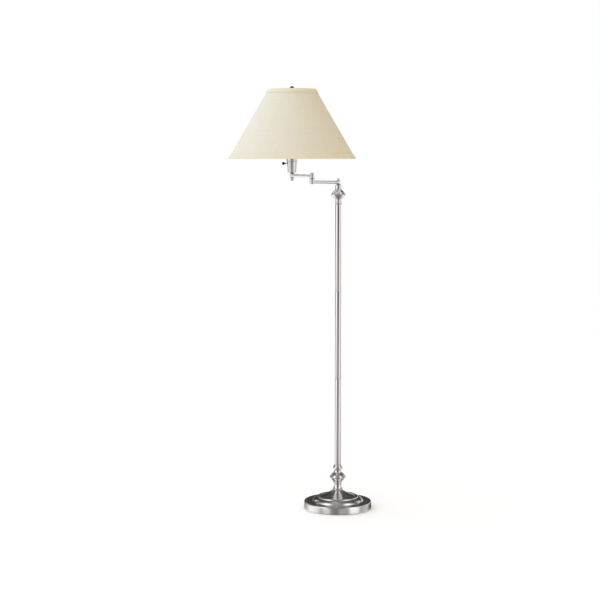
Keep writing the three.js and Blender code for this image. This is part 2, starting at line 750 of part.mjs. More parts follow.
function buildShade(shade) {
  const { bottom, top } = SHADE;
  const cloth = coneBand(bottom, top, CLOTH_INSET, CLOTH_THICKNESS);
  const liner = coneBand(bottom, top, LINER_INSET, LINER_THICKNESS);
  piece(shade, 'shade_cloth', cloth, linen);
  piece(shade, 'shade_liner', liner, styrene);
  const bottomTrim = coneBand(bottom, bottom + TRIM.bottomWidth, 0, TRIM.thickness);
  const topTrim = coneBand(top - TRIM.topWidth, top, 0, TRIM.thickness);
  piece(shade, 'shade_bottom_trim', bottomTrim, linenTrim);
  piece(shade, 'shade_top_trim', topTrim, linenTrim);
  piece(shade, 'shade_bottom_ring', wireRing(BOTTOM_RING_Z), zincSteel);
  piece(shade, 'shade_spider', shadeSpider(), zincSteel);
}

// A ball finial on a short neck, with a blind hole for the stud.
function buildFinial(head) {
  const hubTop = STUD_FLANGE.bottom + STUD_FLANGE.thickness + GAP + SPIDER_HUB;
  const bottom = hubTop + FINIAL_CLEARANCE;
  const centre = TOTAL_HEIGHT - FINIAL_RADIUS;
  const hole = STUD_RADIUS + GAP;
  const neckAngle = -Math.PI / 2 + Math.asin(4.6 / FINIAL_RADIUS);
  const outside = outlinePairs((path) =>
    path
      .moveTo(6, bottom)
      .lineTo(6, bottom + 1)
      .lineTo(4.6, bottom + 1.8)
      .absarc(0, centre, FINIAL_RADIUS, neckAngle, Math.PI / 2),
  );
  const ballTop = outside.slice(0, -1);
  const holeTop = STUD_TOP + GAP;
  const profile = [[0, holeTop], [hole, holeTop], [hole, bottom], ...ballTop, [0, TOTAL_HEIGHT]];
  piece(head, 'finial', lathe(profile, SIDES_SMALL), blackPlastic);
}

// ---- Assembly -----------------------------------------------------------------------

const lamp = new THREE.Group();
buildBase(lamp);
buildPole(lamp);

const innerArm = new THREE.Group();
innerArm.rotation.z = INNER_ARM_ANGLE;
lamp.add(innerArm);
buildInnerArm(innerArm);

const outerArm = new THREE.Group();
outerArm.position.x = ARM_LENGTH;
outerArm.rotation.z = OUTER_ARM_ANGLE - INNER_ARM_ANGLE;
innerArm.add(outerArm);
buildOuterArm(outerArm);

const head = new THREE.Group();
head.position.x = ARM_LENGTH;
head.rotation.z = -OUTER_ARM_ANGLE;
outerArm.add(head);
buildSocket(head);
buildKnob(head);
buildHarp(head);
buildShade(head);
buildFinial(head);

export default lamp;
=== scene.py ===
import json
import math

import bmesh
import bpy
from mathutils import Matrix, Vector


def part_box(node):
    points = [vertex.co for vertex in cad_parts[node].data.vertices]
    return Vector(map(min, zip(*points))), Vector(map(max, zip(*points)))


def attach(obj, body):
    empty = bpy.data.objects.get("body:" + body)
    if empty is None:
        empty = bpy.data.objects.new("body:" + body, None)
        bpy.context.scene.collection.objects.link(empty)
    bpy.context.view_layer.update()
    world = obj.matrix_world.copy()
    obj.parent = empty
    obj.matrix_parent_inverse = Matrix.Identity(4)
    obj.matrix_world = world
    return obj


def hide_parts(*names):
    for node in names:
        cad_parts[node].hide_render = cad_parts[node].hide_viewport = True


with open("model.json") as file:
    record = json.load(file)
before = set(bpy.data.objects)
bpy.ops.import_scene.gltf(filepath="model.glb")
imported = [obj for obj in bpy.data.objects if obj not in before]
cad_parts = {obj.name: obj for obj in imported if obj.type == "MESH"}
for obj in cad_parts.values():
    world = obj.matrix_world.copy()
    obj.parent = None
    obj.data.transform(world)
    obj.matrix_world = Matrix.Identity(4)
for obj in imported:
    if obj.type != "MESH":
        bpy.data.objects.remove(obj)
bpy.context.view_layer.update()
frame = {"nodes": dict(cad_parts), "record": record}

# The looks of a swing-arm floor lamp: nickel-plated turnings, a linen empire shade, and
# the parts that show inside and under it. Outlines are in millimetres and are drawn
# from the CAD nodes' own boxes; Blender's units are metres.

MM = 0.001

# ---- Camera --------------------------------

SENSOR, LENS = 36, 90.48  # millimetres
EYE = Vector((-0.135, -5.3155, 1.2454))
PITCH_DOWN = math.radians(5.357)


def make_camera():
    data = bpy.data.cameras.new("camera")
    data.sensor_width = SENSOR
    data.lens = LENS
    data.clip_end = 60
    camera = bpy.data.objects.new("camera", data)
    camera.location = EYE
    camera.rotation_euler = (math.pi / 2 - PITCH_DOWN, 0, 0)
    bpy.context.scene.collection.objects.link(camera)
    bpy.context.scene.camera = camera


make_camera()

# ---- Node materials ------------------------


class Nodes:
    """A few short calls for building a node tree."""

    def __init__(self, tree):
        self.tree = tree
        self.tree.nodes.clear()

    def add(self, kind, inputs=None, **settings):
        node = self.tree.nodes.new(kind)
        for key, value in settings.items():
            setattr(node, key, value)
        for key, value in (inputs or {}).items():
            self.feed(node.inputs[key], value)
        return node

    def feed(self, socket, value):
        if isinstance(value, bpy.types.NodeSocket):
            self.tree.links.new(value, socket)
        elif value is not None:
            socket.default_value = value

    def math(self, operation, a, b=None, c=None):
        node = self.add("ShaderNodeMath", operation=operation)
        for socket, value in zip(node.inputs, (a, b, c)):
            self.feed(socket, value)
        return node.outputs[0]

    def vector(self, operation, a, b=None):
        node = self.add("ShaderNodeVectorMath", operation=operation)
        for socket, value in zip(node.inputs, (a, b)):
            self.feed(socket, value)
        return node.outputs["Value" if operation == "LENGTH" else "Vector"]

    def object_place(self):
        return self.add("ShaderNodeTexCoord").outputs["Object"]

    def split(self, vector):
        return self.add("ShaderNodeSeparateXYZ", {"Vector": vector}).outputs

    def combine(self, x, y, z):
        return self.add("ShaderNodeCombineXYZ", {"X": x, "Y": y, "Z": z}).outputs[0]

    def scaled(self, vector, scale):
        return self.vector("MULTIPLY", vector, scale)

    def noise(self, vector, scale, detail=3.0, roughness=0.5, distortion=0.0):
        kind = {"Detail": detail, "Roughness": roughness, "Distortion": distortion}
        inputs = {"Vector": vector, "Scale": scale, **kind}
        return self.add("ShaderNodeTexNoise", inputs).outputs[0]

    def spread(self, value, low, high, start=0.0, end=1.0):
        ends = {"From Min": start, "From Max": end, "To Min": low, "To Max": high}
        return self.add("ShaderNodeMapRange", {"Value": value, **ends}).outputs[0]

    def blend(self, factor, a, b):
        """Mixes colours. The node's colour sockets have no names of their own."""
        node = self.add("ShaderNodeMix", data_type="RGBA")
        self.feed(node.inputs[0], factor)
        self.feed(node.inputs[6], a)
        self.feed(node.inputs[7], b)
        return node.outputs[2]

    def ramp(self, factor, stops):
        node = self.add("ShaderNodeValToRGB", {"Fac": factor})
        ramp = node.color_ramp
        while len(ramp.elements) < len(stops):
            ramp.elements.new(0.5)
        for element, (place, colour) in zip(ramp.elements, stops):
            element.position = place
            element.color = colour
        return node.outputs[0]

    def bump(self, height, strength, distance):
        inputs = {"Height": height, "Strength": strength, "Distance": distance}
        return self.add("ShaderNodeBump", inputs).outputs[0]


def rgb(red, green, blue):
    return (red, green, blue, 1.0)


def surface(name, build, even):
    """A material whose build(nodes) returns what is linked to the shader's sockets. The
    values of even are set on their sockets as they are."""
    material = bpy.data.materials.new(name)
    material.use_nodes = True
    nodes = Nodes(material.node_tree)
    shader = nodes.add("ShaderNodeBsdfPrincipled")
    output = nodes.add("ShaderNodeOutputMaterial")
    material.node_tree.links.new(shader.outputs[0], output.inputs["Surface"])
    for key, value in even.items():
        shader.inputs[key].default_value = value
    for key, socket in build(nodes).items():
        nodes.feed(shader.inputs[key], socket)
    return material


MOST = (0.3, 0.7)  # where most values of a noise lie
NICKEL_LIGHT = rgb(0.82, 0.79, 0.785)
NICKEL_DARK = rgb(0.68, 0.645, 0.64)
NICKEL_ROUGH = (0.07, 0.17)
TARNISH = 0.35  # how far the darkest patches go toward the dark tone


def brushed(across):
    """Plated metal. across(nodes) gives a place squeezed so that noise draws fine lines."""

    def build(nodes):
        place = nodes.object_place()
        lines = nodes.noise(across(nodes), 1.0, detail=4, roughness=0.6)
        cloud = nodes.noise(place, 38, detail=3)
        smudge = nodes.noise(place, 9, detail=5, roughness=0.62, distortion=0.6)
        tone = nodes.math("MULTIPLY_ADD", lines, 0.55, nodes.math("MULTIPLY", cloud, 0.45))
        share = nodes.spread(tone, 0, TARNISH, *MOST)
        worn = nodes.math("MULTIPLY_ADD", lines, 0.6, nodes.math("MULTIPLY", smudge, 0.4))
        return {
            "Base Color": nodes.blend(share, NICKEL_LIGHT, NICKEL_DARK),
            "Roughness": nodes.spread(worn, *NICKEL_ROUGH, *MOST),
            "Normal": nodes.bump(lines, 0.10, 0.0002),
        }

    return build


def ring_lines(nodes):
    """Lathe marks: fine along the height and the radius, long around the axis."""
    x, y, z = nodes.split(nodes.object_place())
    radius = nodes.vector("LENGTH", nodes.combine(x, y, 0.0))
    run = nodes.math("MULTIPLY", nodes.math("ADD", radius, z), 2600)
    return nodes.combine(nodes.math("MULTIPLY", x, 25), nodes.math("MULTIPLY", y, 25), run)


def length_lines(nodes):
    """Drawing marks: fine around a tube, long along it."""
    return nodes.scaled(nodes.object_place(), (2200, 2200, 14))


def plain_metal(light, dark, rough, grain=900):
    """Stamped, drawn or cast metal with fine grain and a broad change of tone."""

    def build(nodes):
        place = nodes.object_place()
        fine = nodes.noise(place, grain, detail=2)
        broad = nodes.noise(place, 60, detail=4)
        mixed = nodes.math("MULTIPLY_ADD", fine, 0.4, nodes.math("MULTIPLY", broad, 0.6))
        return {
            "Base Color": nodes.blend(nodes.spread(mixed, 0, 1, *MOST), light, dark),
            "Roughness": nodes.spread(mixed, *rough, *MOST),
            "Normal": nodes.bump(fine, 0.12, 0.0003),
        }

    return build


def moulded(colour, light, rough):
    """Moulded plastic or rubber: a faint orange-peel and a little dust."""

    def build(nodes):
        place = nodes.object_place()
        peel = nodes.noise(place, 1400, detail=2)
        dust = nodes.noise(place, 160, detail=4)
        return {
            "Base Color": nodes.blend(nodes.spread(dust, 0, 1, 0.45, 0.9), colour, light),
            "Roughness": nodes.spread(dust, *rough, *MOST),
            "Normal": nodes.bump(peel, 0.08, 0.0002),
        }

    return build


THREAD = 0.00085  # from one thread of the linen to the next


def threads(nodes, uv, across, along):
    """Streaks along both directions of a weave, where threads swell or thin."""
    warp = nodes.noise(nodes.scaled(uv, (across, along, 0)), 1.0, detail=2)
    turned_uv = nodes.vector("ADD", nodes.scaled(uv, (along, across, 0)), (0, 0, 4))
    weft = nodes.noise(turned_uv, 1.0, detail=2)
    return nodes.math("MAXIMUM", warp, weft)


SLUBS, BANDS = (1150, 22), (240, 7)  # how quickly they change, across and along, per metre
SLUB_SHARE, BAND_SHARE, MOTTLE_SHARE = 0.5, 0.4, 0.1  # of the linen's change of tone


def woven(light, dark):
    """Slubbed linen on UVs in metres: u runs round the shade, v up its side."""

    def build(nodes):
        uv = nodes.add("ShaderNodeUVMap", uv_map="UVMap").outputs[0]
        u, v, _ = nodes.split(uv)
        wobble = nodes.noise(nodes.scaled(uv, (90, 90, 0)), 1.0, detail=2)
        drift = nodes.math("MULTIPLY", nodes.math("SUBTRACT", wobble, 0.5), 0.0009)
        waves = []
        for run in (u, v):
            turns = nodes.math("MULTIPLY", nodes.math("ADD", run, drift), math.tau / THREAD)
            waves.append(nodes.math("SINE", turns))
        weave = nodes.math("MULTIPLY", *waves)
        slub = threads(nodes, uv, *SLUBS)
        bands = threads(nodes, uv, *BANDS)
        mottle = nodes.noise(nodes.scaled(uv, (14, 14, 0)), 1.0, detail=4)
        fine = nodes.math("MULTIPLY", nodes.spread(slub, 0, 1, 0.48, 0.66), SLUB_SHARE)
        coarse = nodes.math("MULTIPLY", nodes.spread(bands, 0, 1, 0.48, 0.68), BAND_SHARE)
        patches = nodes.math("MULTIPLY", mottle, MOTTLE_SHARE)
        tone = nodes.math("ADD", nodes.math("ADD", fine, coarse), patches)
        height = nodes.math("MULTIPLY_ADD", weave, 0.35, slub)
        return {
            "Base Color": nodes.blend(tone, light, dark),
            "Roughness": nodes.spread(slub, 0.82, 0.95),
            "Normal": nodes.bump(height, 0.35, 0.0004),
        }

    return build


def fibrous(light, dark, rough):
    """Felt, or board pressed from fibres."""

    def build(nodes):
        place = nodes.object_place()
        fibre = nodes.noise(nodes.scaled(place, (1, 1, 3)), 700, detail=4, distortion=1.2)
        return {
            "Base Color": nodes.blend(nodes.spread(fibre, 0, 1, *MOST), light, dark),
            "Roughness": nodes.spread(fibre, *rough),
            "Normal": nodes.bump(fibre, 0.6, 0.0006),
        }

    return build


def frosted(nodes):
    """Glass with a white coat on the inside."""
    place = nodes.object_place()
    grain = nodes.noise(place, 1600, detail=2)
    cloud = nodes.noise(place, 30, detail=3)
    return {
        "Base Color": nodes.blend(cloud, rgb(0.93, 0.93, 0.91), rgb(0.88, 0.88, 0.86)),
        "Roughness": nodes.spread(grain, 0.28, 0.42),
        "Normal": nodes.bump(grain, 0.05, 0.0001),
    }


BLACK = rgb(0.006, 0.006, 0.007)
DUSTY_BLACK = rgb(0.018, 0.018, 0.018)
METAL = {"Metallic": 1.0}
CLOTH_SHEEN = {"Sheen Weight": 0.15, "Sheen Roughness": 0.5}

IRON = plain_metal(rgb(0.09, 0.09, 0.1), rgb(0.04, 0.04, 0.045), (0.6, 0.9), 350)

LOOKS = {
    "nickel_turned": (brushed(ring_lines), METAL),
    "nickel_drawn": (brushed(length_lines), METAL),
    "zinc_steel": (plain_metal(rgb(0.62, 0.63, 0.65), rgb(0.42, 0.43, 0.46), (0.26, 0.45)), METAL),
    "cast_iron": (IRON, {"Metallic": 0.7}),
    "brass": (plain_metal(rgb(0.80, 0.62, 0.30), rgb(0.62, 0.44, 0.18), (0.2, 0.36)), METAL),
    "bulb_cap": (plain_metal(rgb(0.85, 0.85, 0.87), rgb(0.6, 0.6, 0.63), (0.2, 0.4)), METAL),
    "black_plastic": (moulded(BLACK, DUSTY_BLACK, (0.22, 0.34)), {"Specular IOR Level": 0.03}),
    "linen": (woven(rgb(0.795, 0.74, 0.61), rgb(0.73, 0.67, 0.525)), CLOTH_SHEEN),
    "linen_trim": (woven(rgb(0.80, 0.745, 0.575), rgb(0.745, 0.685, 0.495)), CLOTH_SHEEN),
    "shade_liner": (moulded(rgb(0.88, 0.87, 0.83), rgb(0.8, 0.79, 0.74), (0.4, 0.55)), {}),
    "felt": (fibrous(rgb(0.03, 0.03, 0.033), rgb(0.012, 0.012, 0.014), (0.85, 1.0)), {}),
    "fibre": (fibrous(rgb(0.62, 0.55, 0.42), rgb(0.48, 0.41, 0.29), (0.7, 0.85)), {}),
    "lead_jacket": (moulded(rgb(0.55, 0.42, 0.16), rgb(0.62, 0.5, 0.25), (0.3, 0.45)), {}),
    "bulb_glass": (frosted, {"Coat Weight": 0.4, "Coat Roughness": 0.15}),
}
FINISHES = {name: surface(name, build, even) for name, (build, even) in LOOKS.items()}

# ---- Turned meshes -------------------------

ARC_STEPS = 4
SHARPEST_TURN = math.radians(25)  # a corner that turns by less is left alone
SMOOTH_ANGLE = math.radians(35)


class Outline:
    """The outer outline of a turned piece, as (radius, height) in millimetres."""

    def __init__(self, radius, z):
        self.points = [(radius, z)]

    def line(self, radius, z):
        self.points.append((radius, z))
        return self

    def curve(self, bend_radius, bend_z, radius, z, steps=10):
        """A curve to (radius, z) that leans toward (bend_radius, bend_z)."""
        start = Vector(self.points[-1])
        bend, end = Vector((bend_radius, bend_z)), Vector((radius, z))
        for i in range(1, steps + 1):
            t = i / steps
            point = start * (1 - t) ** 2 + bend * 2 * t * (1 - t) + end * t**2
            self.points.append(tuple(point))
        return self

    def arc(self, centre_radius, centre_z, size, start, end, steps=12):
        for i in range(steps + 1):
            angle = math.radians(start + (end - start) * i / steps)
            radius = centre_radius + size * math.cos(angle)
            self.points.append((max(radius, 0.0), centre_z + size * math.sin(angle)))
        return self


def eased(points, size, closed=True):
    """Rounds each corner of a profile that turns by more than SHARPEST_TURN."""
    result = []
    count = len(points)
    for i, point in enumerate(points):
        here = Vector(point)
        inner = closed or 0 < i < count - 1
        back = Vector(points[i - 1]) - here
        ahead = Vector(points[(i + 1) % count]) - here
        spaced = back.length >= 1e-6 and ahead.length >= 1e-6
        turn = math.pi - back.angle(ahead) if inner and spaced else 0
        if turn < SHARPEST_TURN:
            result.append(tuple(here))
            continue
        reach = min(size * math.tan(turn / 2), 0.45 * back.length, 0.45 * ahead.length)
        start = here + back.normalized() * reach
        end = here + ahead.normalized() * reach
        for step in range(ARC_STEPS + 1):
            t = step / ARC_STEPS
            result.append(tuple(start * (1 - t) ** 2 + here * 2 * t * (1 - t) + end * t**2))
    return result


def finished(piece, finish, body, node=None):
    """Gives a new piece its material and body, and hides the CAD node that it stands for."""
    piece.data.materials.append(FINISHES[finish])
    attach(piece, body)
    if node:
        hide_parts(node)


def as_object(name, bm):
    """Makes the mesh a piece of the scene, smooth but for its sharp edges."""
    mesh = bpy.data.meshes.new(name)
    bmesh.ops.recalc_face_normals(bm, faces=bm.faces)
    bm.to_mesh(mesh)
    bm.free()
    for polygon in mesh.polygons:
        polygon.use_smooth = True
    mesh.set_sharp_from_angle(angle=SMOOTH_ANGLE)
    piece = bpy.data.objects.new(name, mesh)
    bpy.context.scene.collection.objects.link(piece)
    return piece


def polar(radius, angle, z):
    return Vector((radius * math.cos(angle), radius * math.sin(angle), z))


def set_upright(piece, place):
    """Puts an upright piece on the axis through place, in millimetres."""
    piece.location = (place[0] * MM, place[1] * MM, 0)
    return piece


def uv_layer(bm):
    return bm.loops.layers.uv.get("UVMap") or bm.loops.layers.uv.new("UVMap")


def lathe(bm, loop, sides, closed=True, sweep=None):
    """Turns a profile in millimetres round Z. Points on the axis become one vertex.
    UVs are in metres: u round the piece at the profile's mean radius, v along it."""
    uv = uv_layer(bm)
    mean = sum(radius for radius, _ in loop) / len(loop) * MM
    columns = []
    for side in range(sides):
        angle = math.tau * side / sides
        column = []
        for radius, z in loop:
            if radius < 1e-6 and columns:
                column.append(columns[0][len(column)])
                continue
            reach = sweep(angle, radius, z) if sweep else radius
            column.append(bm.verts.new(polar(reach * MM, angle, z * MM)))
        columns.append(column)
    run = [0.0]
    last = len(loop) if closed else len(loop) - 1
    for i in range(last):
        step = Vector(loop[(i + 1) % len(loop)]) - Vector(loop[i])
        run.append(run[-1] + step.length * MM)
    for side in range(sides):
        here, there = columns[side], columns[(side + 1) % sides]
        left, right = (math.tau * mean * (side + k) / sides for k in (0, 1))
        for i in range(last):
            j = (i + 1) % len(loop)
            corners = [(here[i], left, run[i]), (there[i], right, run[i])]
            corners += [(there[j], right, run[i + 1]), (here[j], left, run[i + 1])]
            kept = []
            for corner in corners:
                if corner[0] not in [vertex for vertex, _, _ in kept]:
                    kept.append(corner)
            if len(kept) < 3:
                continue
            face = bm.faces.new([vertex for vertex, _, _ in kept])
            for face_loop, (_, u, v) in zip(face.loops, kept):
                face_loop[uv].uv = (u, v)


def lathed(name, loop, sides, closed=True, sweep=None, place=(0, 0)):
    """A lathed piece on an upright axis that passes through place."""
    bm = bmesh.new()
    lathe(bm, loop, sides, closed, sweep)
    return set_upright(as_object(name, bm), place)


def turned_loop(outline, bore, ease):
    """The closed profile of an outline with a straight bore, or with a solid middle."""
    points = list(outline.points)
    if bore > 0:
        points = [(bore, points[0][1])] + points + [(bore, points[-1][1])]
        return eased(points, ease), True
    start = [] if points[0][0] < 1e-6 else [(0.0, points[0][1])]
    end = [] if points[-1][0] < 1e-6 else [(0.0, points[-1][1])]
    return eased(start + points + end, ease, closed=False), False


def turned(name, outline, bore=0.0, sides=96, ease=0.4, place=(0, 0)):
    """A piece turned from an outline, as lathed makes it."""
    loop, closed = turned_loop(outline, bore, ease)
    return lathed(name, loop, sides, closed, place=place)


class Extent:
    """An upright CAD node's size and place, in millimetres."""

    def __init__(self, node):
        low, high = (Vector(corner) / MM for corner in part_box(node))
        self.bottom, self.top = low.z, high.z
        self.radius = (high.x - low.x) / 2
        self.place = ((high.x + low.x) / 2, (high.y + low.y) / 2)
        self.middle = (low.z + high.z) / 2
        self.low, self.high = low, high


# ---- Base and pole -------------------------

PIPE_HOLE = 5.1
COVER_WALL = 1.5
TUBE_WALL = 1.2  # of the pole and of both arms


def make_base_cover():
    e = Extent("base_cover")
    outer, rim_top = e.radius, 26.5
    shape = Outline(outer - 0.5, e.bottom).line(outer, e.bottom + 1)
    shape.line(outer, rim_top - 4).curve(outer, rim_top, outer - 4, rim_top)
    shape.line(outer - 4.6, rim_top - 0.3).line(91.4, rim_top - 0.5).line(90.5, rim_top)
    shape.curve(86.5, 37, 75.2, 39.4).line(73.6, 39.3).line(72.6, 37.8)
    shape.curve(73.2, 44.2, 67.6, 44.4).curve(64.6, 44.4, 64, 42.9).line(63.2, 43.2)
    shape.curve(27, 54.5, 17.2, 67, 20).line(17.2, 68.2).line(15.6, e.top)
    inside = Outline(14.3, e.top - COVER_WALL).curve(26, 52.6, 63, 41.4, 14).line(71, 36.4)
    inside.curve(84, 35.4, 88.6, 25).line(outer - 4.4, 25).line(outer - COVER_WALL, 22)
    inside.line(outer - COVER_WALL, e.bottom)
    loop = shape.points + [(PIPE_HOLE, e.top), (PIPE_HOLE, e.top - COVER_WALL)] + inside.points
    piece = lathed("base_cover_skin", eased(loop, 0.5), 224)
    finished(piece, "nickel_turned", "stand", "base_cover")


def neck(e):
    shape = Outline(15, e.bottom).line(16.4, e.bottom + 0.4).line(17, e.bottom + 1.4)
    shape.line(16.6, e.bottom + 2.6).line(15.2, e.bottom + 3.4)
    shape.curve(11.2, e.middle + 0.4, 14.6, e.top - 4.6, 18)
    shape.line(15.4, e.top - 4.2).line(16, e.top - 3).line(15.6, e.top - 1.6)
    return shape.line(13.2, e.top)


def lower_cup(e):
    shape = Outline(13.2, e.bottom).curve(15, e.bottom + 0.2, 17, e.bottom + 2)
    shape.line(20.6, e.bottom + 4.8).line(21.4, e.bottom + 6.2).line(22.6, e.bottom + 6.8)
    shape.curve(24.6, e.bottom + 9.2, e.radius - 1.2, e.bottom + 13)
    shape.curve(e.radius, e.bottom + 14.4, e.radius, e.top - 0.3)
    return shape.line(e.radius - 0.3, e.top)


def lower_skirt(e):
    shape = Outline(e.radius - 0.3, e.bottom).line(e.radius, e.bottom + 0.4)
    shape.line(e.radius - 1.2, e.bottom + 1.9)
    shape.curve(24.8, e.bottom + 7.6, 17.6, e.bottom + 13.5, 14)
    return shape.curve(13.4, e.bottom + 16.4, 13.2, e.top - 1.6).line(12.6, e.top)


def lower_bead(e):
    middle = e.bottom + 9.2
    shape = Outline(12.6, e.bottom).line(13.4, e.bottom + 0.4).line(14.2, e.bottom + 2)
    shape.line(14.2, e.bottom + 3).curve(e.radius, e.bottom + 4, e.radius, middle, 12)
    shape.curve(e.radius, middle + 3.6, 15.2, middle + 5.4, 12).line(14, middle + 5.6)
    return shape.line(14, middle + 6.4).curve(13.6, e.top - 1.6, 11.6, e.top)


def upper_stem(e):
    shape = Outline(10.8, e.bottom).line(11.2, e.bottom + 0.5)
    shape.arc(11.1, e.bottom + 2.4, e.radius - 11.1, -80, 80).line(11, e.bottom + 4.2)
    shape.line(11.2, e.bottom + 5).line(11.2, e.top - 2.2)
    return shape.curve(11.2, e.top - 1.2, 12.2, e.top - 0.8).line(12.2, e.top)


def upper_cup(e):
    shape = Outline(12.6, e.bottom).line(13.6, e.bottom + 0.5).line(17.4, e.bottom + 2.6)
    shape.line(17.8, e.bottom + 3.6).curve(20.4, e.bottom + 6.2, e.radius - 1.3, e.bottom + 11.6)
    return shape.curve(e.radius, e.bottom + 13, e.radius, e.top - 0.3).line(e.radius - 0.3, e.top)


def upper_dome(e):
    shape = Outline(e.radius - 0.3, e.bottom).line(e.radius, e.bottom + 0.4)
    shape.line(e.radius - 1.2, e.bottom + 2.2).line(22.4, e.bottom + 3).line(22.2, e.bottom + 3.8)
    shape.curve(20.4, e.bottom + 8.8, 15.8, e.bottom + 12, 14)
    return shape.curve(12.6, e.bottom + 14, 12.2, e.top)


def pivot_stem(e):
    shape = Outline(e.radius - 0.2, e.bottom).line(e.radius, e.bottom + 0.6)
    shape.line(e.radius, e.bottom + 1.6).line(10.9, e.bottom + 2.4).line(10.9, e.top - 2.6)
    return shape.line(e.radius, e.top - 1.8).line(e.radius, e.top - 0.5).line(e.radius - 0.5, e.top)


TURNINGS = {
    "base_neck": neck,
    "lower_knot_cup": lower_cup,
    "lower_knot_skirt": lower_skirt,
    "lower_bead": lower_bead,
    "upper_stem": upper_stem,
    "upper_knot_cup": upper_cup,
    "upper_knot_dome": upper_dome,
    "pivot_stem": pivot_stem,
}


def straight(e, ease):
    """A plain cylinder with a small chamfer at both ends."""
    shape = Outline(e.radius - ease, e.bottom).line(e.radius, e.bottom + ease)
    return shape.line(e.radius, e.top - ease).line(e.radius - ease, e.top)


def make_stand():
    make_base_cover()
    for node, draw in TURNINGS.items():
        piece = turned(f"{node}_skin", draw(Extent(node)), PIPE_HOLE, sides=128)
        finished(piece, "nickel_turned", "stand", node)
    for node in ("pole_lower", "pole_middle", "pole_upper"):
        e = Extent(node)
        bore = e.radius - TUBE_WALL
        piece = turned(f"{node}_skin", straight(e, 0.25), bore, sides=96, ease=0.1)
        finished(piece, "nickel_drawn", "stand", node)
    pad = Extent("felt_pad")
    felt = turned("felt_pad_skin", straight(pad, 0.5), sides=160, ease=0.4)
    finished(felt, "felt", "stand", "felt_pad")
    cap = Extent("pole_pivot_cap")
    dome = Outline(cap.radius, cap.bottom).line(cap.radius, cap.bottom + 1.4)
    dome.line(cap.radius - 0.7, cap.bottom + 1.8).curve(cap.radius - 0.9, cap.top, 0, cap.top)
    piece = turned("pole_pivot_cap_skin", dome, sides=64, ease=0.2, place=cap.place)
    finished(piece, "nickel_turned", "stand", "pole_pivot_cap")
    make_bushing()


def make_bushing():
    """A snap-in bushing, turned round the axis of the hole in the back of the rim."""
    e = Extent("cord_bushing")
    flange, inner, outer = e.radius, e.low.y, e.high.y
    wall_inner, wall_outer = inner + 1.3, outer - 1.8  # the rim of the base lies between
    hole, throat = 3.2, 4.2
    loop = [(hole, inner), (flange - 1, inner), (flange - 1, wall_inner), (throat, wall_inner)]
    loop += [(throat, wall_outer), (flange, wall_outer), (flange - 0.6, outer - 0.5)]
    loop += [(flange - 1.8, outer), (hole + 0.4, outer), (hole, outer - 0.6)]
    piece = lathed("cord_bushing_skin", eased(loop, 0.35), 48)
    piece.rotation_euler = (-math.pi / 2, 0, 0)
    piece.location = (0, 0, e.middle * MM)
    finished(piece, "black_plastic", "stand", "cord_bushing")


# ---- Arms ----------------------------------

ARM_TUBE_RADIUS = 6
FILLET_HEIGHT = 0.5
SUNK_END = 0.3  # how far an arm tube reaches into its knuckles
PIN_HOLE = 4.3


def make_knuckle(node, body):
    e = Extent(node)
    shape = straight(e, 0.9)
    piece = turned(f"{node}_skin", shape, PIN_HOLE, sides=80, ease=0.8, place=e.place)
    finished(piece, "nickel_turned", body, node)


def make_arm_tube(node, body, start, end):
    """A tube that rises a little from knuckle to knuckle, with a brazed fillet at each."""
    a, b, tube_extent = Extent(start), Extent(end), Extent(node)
    height = tube_extent.bottom + ARM_TUBE_RADIUS
    rise = tube_extent.top - ARM_TUBE_RADIUS - height
    run = Vector((b.place[0] - a.place[0], b.place[1] - a.place[1], rise))
    near, far = a.radius - SUNK_END, run.length - b.radius + SUNK_END
    collar = ARM_TUBE_RADIUS + FILLET_HEIGHT
    shape = Outline(collar, near).line(collar, near + 1.4)
    shape.curve(ARM_TUBE_RADIUS, near + 1.6, ARM_TUBE_RADIUS, near + 2.6, 5)
    shape.line(ARM_TUBE_RADIUS, far - 2.6)
    shape.curve(ARM_TUBE_RADIUS, far - 1.6, collar, far - 1.4, 5).line(collar, far)
    bm = bmesh.new()
    lathe(bm, turned_loop(shape, ARM_TUBE_RADIUS - TUBE_WALL, 0.1)[0], 72)
    for vertex in bm.verts:  # each end is coped to the round of its knuckle
        first_half = vertex.co.z < 0.5 * run.length * MM
        knuckle, sign = (a.radius, -1) if first_half else (b.radius, 1)
        across = vertex.co.x / MM
        vertex.co.z += sign * (knuckle - math.sqrt(max(knuckle**2 - across**2, 0))) * MM
    piece = as_object(f"{node}_skin", bm)
    piece.rotation_mode = "QUATERNION"
    piece.rotation_quaternion = run.to_track_quat("Z", "Y")
    piece.location = Vector((*a.place, height)) * MM
    finished(piece, "nickel_drawn", body, node)


def make_arms():
    for body, first, last in (("inner_arm", "pole", "elbow"), ("outer_arm", "elbow", "socket")):
        knuckles = [f"{body}_{end}_knuckle" for end in (first, last)]
        for knuckle in knuckles:
            make_knuckle(knuckle, body)
        make_arm_tube(f"{body}_tube", body, *knuckles)
    pin = Extent("elbow_pin")
    head_bottom = Extent("outer_arm_elbow_knuckle").top + 0.3
    shape = Outline(4, pin.bottom).line(4, head_bottom).line(pin.radius, head_bottom)
    shape.line(pin.radius, head_bottom + 0.6).curve(pin.radius - 1, pin.top, 0, pin.top)
    piece = turned("elbow_pin_skin", shape, sides=64, ease=0.25, place=pin.place)
    finished(piece, "nickel_turned", "outer_arm", "elbow_pin")


# ---- Lamp head -----------------------------

HEAD = Extent("socket_cup").place
SOCKET_BORE = 16.3  # the hole that the socket shell passes through


